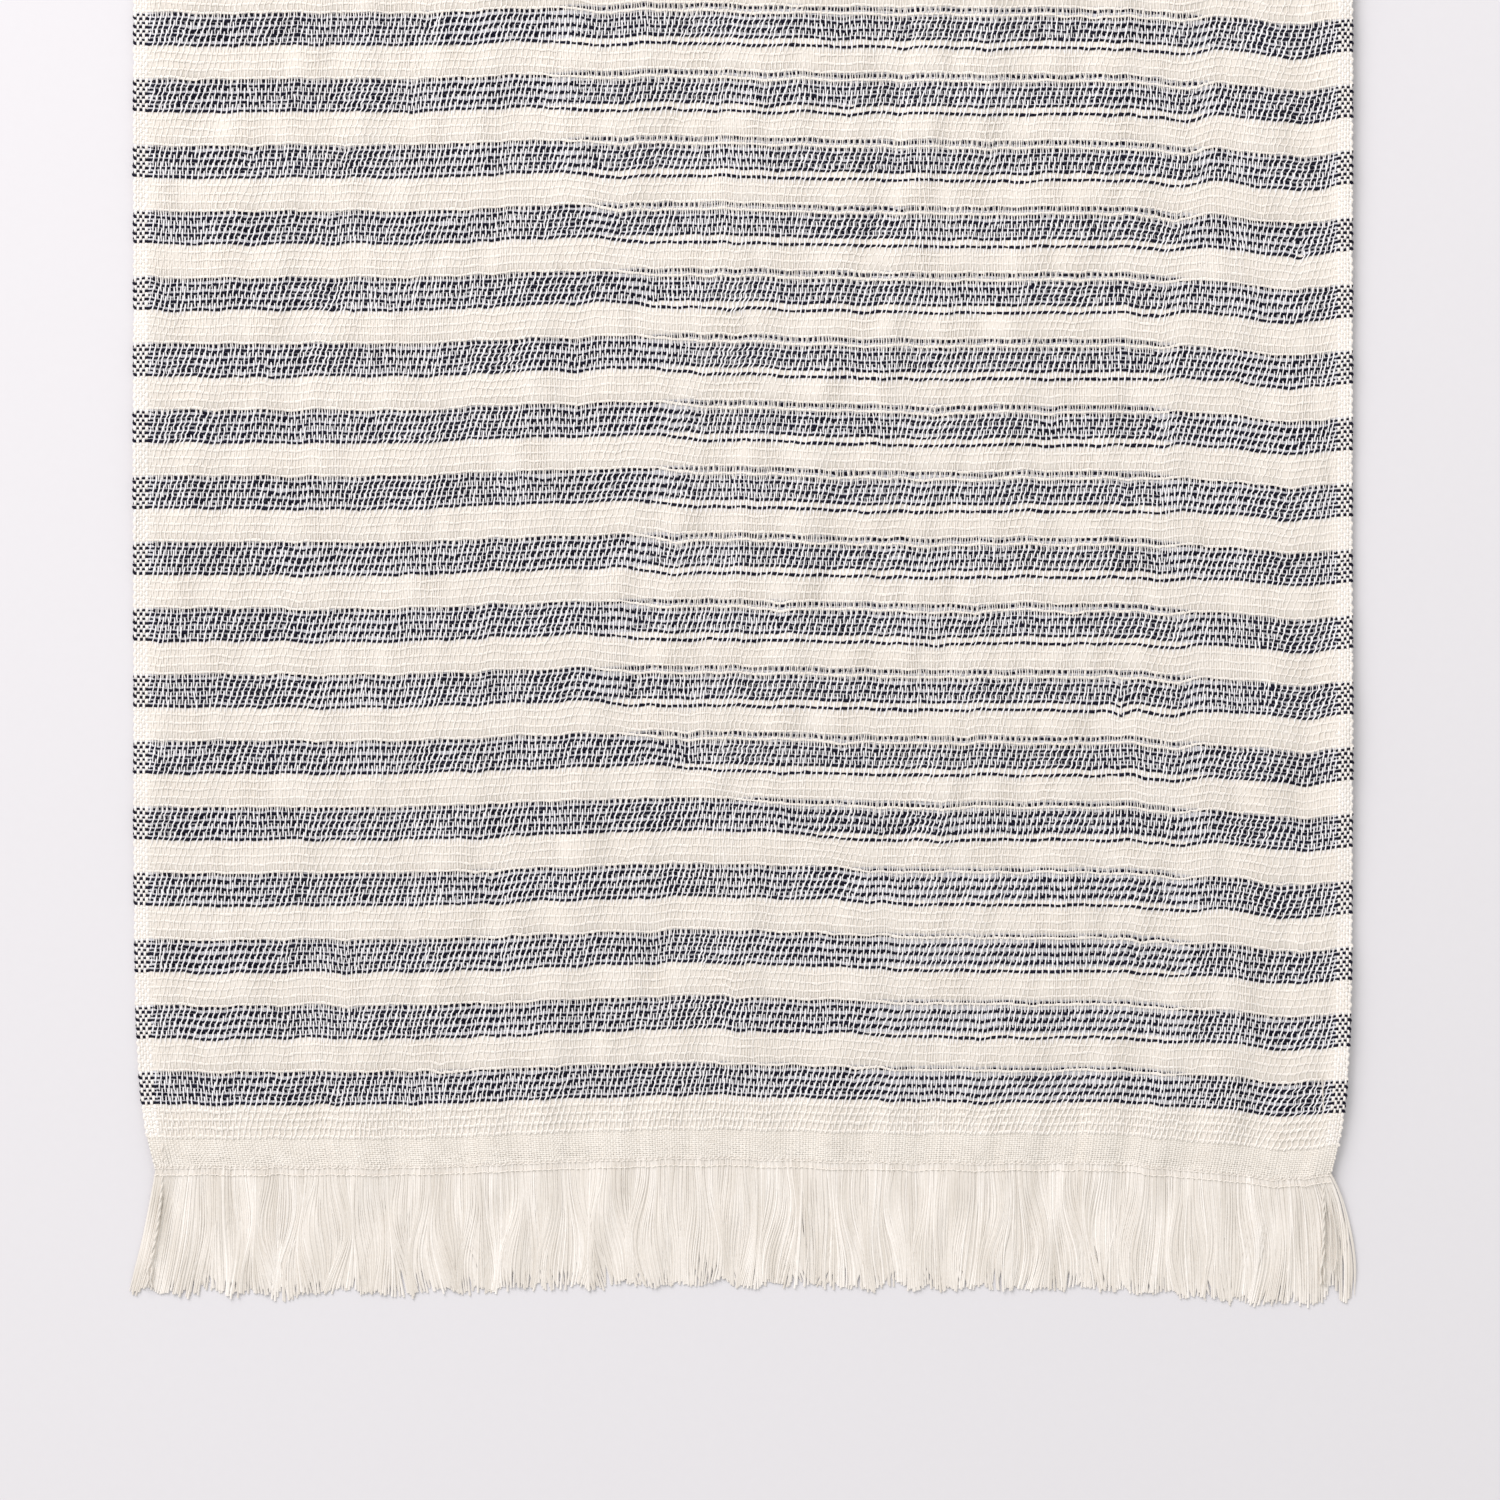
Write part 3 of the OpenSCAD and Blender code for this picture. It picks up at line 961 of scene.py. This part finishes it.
LEFT_CORD = [(3.2, -9, 2.4), (3.6, 2, 2.3), (2.6, 14, 2.3), (1.0, 27, 2.2), (-1.6, 40, 2.0),
             (-2.4, 50, 1.6)]
RIGHT_CORD = [(3.0, -12, 2.6), (3.4, 3, 2.7), (3.2, 14, 2.5), (3.0, 26, 2.4), (3.6, 37, 2.2),
              (3.3, 46, 1.7)]
RIGHT_LOOP = [(1.0, 1, 2.6), (0.2, 12, 2.5), (-1.5, 20, 2.6), (-2.6, 33, 2.5), (-1.0, 42, 2.5),
              (1.0, 35, 2.6), (-0.2, 24, 2.7), (0.8, 16, 2.8)]
RIGHT_EDGE_LINE = [(3.9, -40, 3.0), (3.1, -26, 3.1), (3.8, -12, 3.0), (3.0, 3, 2.9),
                   (2.2, 16, 2.7)]
CORNER_RINGS = 90
CORD_SIDES = 6
PLY_OFFSET = 0.30 * MM         # from a cord's middle to each of its two plies
CORD_TURN = 8.0 * MM           # length of one turn of the cord's twist
CORD_PLY_RADIUS = 0.44 * MM
SINGLE_RADIUS = 0.30 * MM
FRAY = 2.2 * MM                # how far the plies part at the tip


def lengths_along(points):
    """How far along a path each of its points lies."""
    steps = np.linalg.norm(np.diff(points, axis=0), axis=1)
    return np.concatenate([[0], np.cumsum(steps)])


def smooth_path(points):
    """An even, smooth curve through a corner yarn's points, cut at their corners."""
    points = np.array(points, float)
    for _ in range(4):
        middle = 0.75 * points[:-1] + 0.25 * points[1:], 0.25 * points[:-1] + 0.75 * points[1:]
        cut = np.stack(middle, 1).reshape(-1, 3)
        points = np.concatenate([points[:1], cut, points[-1:]])
    far = lengths_along(points)
    even = np.linspace(0, far[-1], CORNER_RINGS)
    return np.stack([np.interp(even, far, points[:, k]) for k in range(3)], -1)


def twisted_plies(path):
    """Paths of the two plies of a cord that follow path and wind round each other."""
    far = lengths_along(path)
    along = np.gradient(path, axis=0)
    flat = np.hypot(along[:, 0], along[:, 1])
    across = np.stack([-along[:, 1] / flat, along[:, 0] / flat, 0 * flat], -1)
    made = []
    for k in range(2):
        angle = 2 * np.pi * (far / CORD_TURN + k / 2)
        offset = across * np.cos(angle)[:, None] + np.sin(angle)[:, None] * np.array([0, 0, 1.0])
        made.append(path + PLY_OFFSET * offset)
    return np.array(made)


def corner_route(end, side, points):
    """A smooth route through corner points that are given as the lists above give them."""
    edge = EDGE_X * narrowing(end * BAND_Y)
    fall = droop(side * EDGE_X)
    return smooth_path([[side * (edge - inward * MM), end * (BAND_Y + beyond * MM) + fall, z * MM]
                        for inward, beyond, z in points])


def make_corner_yarns(end, label):
    """The edge yarns that end at the corners: a twisted cord on each side, and on the right
    two single yarns, one that hangs in a loop and one along the mat's edge."""
    cords = np.concatenate([twisted_plies(corner_route(end, -1, LEFT_CORD)),
                            twisted_plies(corner_route(end, 1, RIGHT_CORD))])
    fray = FRAY * np.linspace(0, 1, CORNER_RINGS) ** 6
    for k, cord in enumerate(cords):
        cord[:, 0] += (k % 2 - 0.5) * fray
    singles = np.array([corner_route(end, 1, line) for line in (RIGHT_LOOP, RIGHT_EDGE_LINE)])
    parts = [
        tube_mesh(f"{label}_corner_plies", cords, CORD_PLY_RADIUS, CORD_PLY_RADIUS,
                  CORD_SIDES, smooth=True),
        tube_mesh(f"{label}_corner_singles", singles, SINGLE_RADIUS, SINGLE_RADIUS,
                  CORD_SIDES, smooth=True),
    ]
    piece = joined(f"{label}_corner_yarns", parts)
    paint(piece, "tone_and_shade", np.full(len(piece.data.vertices), CORNER_TONE))
    return finish_piece(piece, "fringe_yarn")


# ---------------------------------------------------------------- ground sheet

def ground_lines():
    """Rest y of the ground sheet's cross lines, and the navy share at each."""
    zone = ROWS_PER_STRIPE * ROW_PITCH
    inner = (np.arange(ALL_STRIPES)[:, None] + GROUND_LINES).ravel() * zone
    inner = inner - BODY_Y + GROUND_SHIFT * ROW_PITCH
    lines = np.concatenate([[-BAND_Y + GROUND_RIM], inner, [BAND_Y - GROUND_RIM]])
    share = navy_share(np.arange(ALL_STRIPES) * ROWS_PER_STRIPE)
    share = np.repeat(share, len(GROUND_LINES))
    return lines, np.concatenate([[0], share, [0]])


def sheet_faces(columns, rows):
    """Top, underside and rim of a closed sheet whose top vertices come first."""
    i, j = np.meshgrid(np.arange(columns - 1), np.arange(rows - 1), indexing="ij")
    a = (i * rows + j).ravel()
    up = np.stack([a, a + rows, a + rows + 1, a + 1], -1)
    down = up[:, ::-1] + columns * rows
    k = np.arange(columns * rows).reshape(columns, rows)
    rim = np.concatenate([k[:, 0], k[-1, 1:], k[-2::-1, -1], k[0, -2:0:-1]])
    after = np.roll(rim, -1)
    wall = np.stack([rim, rim + columns * rows, after + columns * rows, after], -1)
    return [up, down, wall]


def make_ground():
    """The back cloth's ground, a thin closed sheet that fills the gaps between its yarns and
    covers them in the cream stripes. Its colour, darker than the yarns, is painted shade in
    those gaps. In the navy stripes it is tinted cooler, partly for the navy back picks seen
    through the gaps and partly as painted shade."""
    lines, share = ground_lines()
    u = np.linspace(-EDGE_X + GROUND_RIM, EDGE_X - GROUND_RIM, GROUND_COLUMNS)
    u, v = np.meshgrid(u, lines, indexing="ij")
    share = np.broadcast_to(share, u.shape)
    low = np.where(np.abs(v) < BODY_Y, CREAM_GROUND_Z, BAND_GROUND_Z)
    low = low + (NAVY_GROUND_Z - low) * share
    low = np.where(np.abs(u) > BODY_X - 1 * MM, EDGE_GROUND_Z, low)
    top = np.stack([u * narrowing(v), v + sway(u, v), low + height(u, v)], -1)
    bottom = top - np.array([0, 0, GROUND_THICK])
    verts = np.concatenate([top.reshape(-1, 3), bottom.reshape(-1, 3)])
    piece = mesh_object("back_ground_painted_shade", verts, sheet_faces(*u.shape))
    # the navy share tints the sheet cooler and darker: partly the navy back picks, partly painted
    # shade
    paint(piece, "navy_share", np.concatenate([share.ravel(), share.ravel()]))
    return finish_piece(piece, "back_cloth", "back_cloth")


# ---------------------------------------------------------------- studio

FLOOR_REACH = 9.0
FLOOR_GAP = 0.05 * MM          # below the mat
VIEW_WIDTH = 617 * MM          # what the camera sees across at the floor
VIEW_X = 3.0 * MM
VIEW_Y = 223 * MM              # from the front fringe's tips to the middle of the view
LIGHT_AIM = Vector((0.0, -0.17, 0.0))


def make_floor():
    """A plain pale floor."""
    x, y = FLOOR_REACH * np.array([[-1, 1, 1, -1], [-1, -1, 1, 1]])
    verts = np.stack([x, y, np.full(4, CAD_BOX[0].z - FLOOR_GAP)], -1)
    floor = mesh_object("floor", verts, [np.array([[0, 1, 2, 3]])])
    floor.data.materials.append(floor_material())


def make_camera():
    """Straight down, over the front half of the mat, with the front fringe in view."""
    data = bpy.data.cameras.new("camera")
    data.lens = 100.0
    data.sensor_width = 36.0
    data.clip_end = 50
    camera = bpy.data.objects.new("camera", data)
    above = VIEW_WIDTH * data.lens / data.sensor_width
    camera.location = (VIEW_X, -TIP_Y + VIEW_Y, above)
    bpy.context.scene.collection.objects.link(camera)
    bpy.context.scene.camera = camera


def make_window():
    """One broad window-like light from the upper left."""
    data = bpy.data.lights.new("window", "AREA")
    data.shape = "SQUARE"
    data.size = 2.2
    data.energy = 90
    data.color = (1.0, 0.965, 0.99)
    lamp = bpy.data.objects.new("window", data)
    lamp.location = (-1.50, 2.05, 2.00)
    aim = LIGHT_AIM - lamp.location
    lamp.rotation_euler = aim.to_track_quat("-Z", "Y").to_euler()
    bpy.context.scene.collection.objects.link(lamp)


def make_surround():
    """A pale surround that fills the shadows."""
    world = bpy.data.worlds.new("surround")
    world.use_nodes = True
    background = world.node_tree.nodes["Background"]
    background.inputs["Color"].default_value = (0.99, 0.99, 0.99, 1)
    background.inputs["Strength"].default_value = 0.74
    bpy.context.scene.world = world
    bpy.context.scene.view_settings.view_transform = "Standard"


make_camera()
make_window()
make_surround()
make_floor()
weave_body()
for end, label in ((-1, "front"), (1, "rear")):
    weave_band(end, label)
    make_locking_picks(end, label)
    make_fringe(end, label, 200 + end)
    make_corner_yarns(end, label)
ground = make_ground()
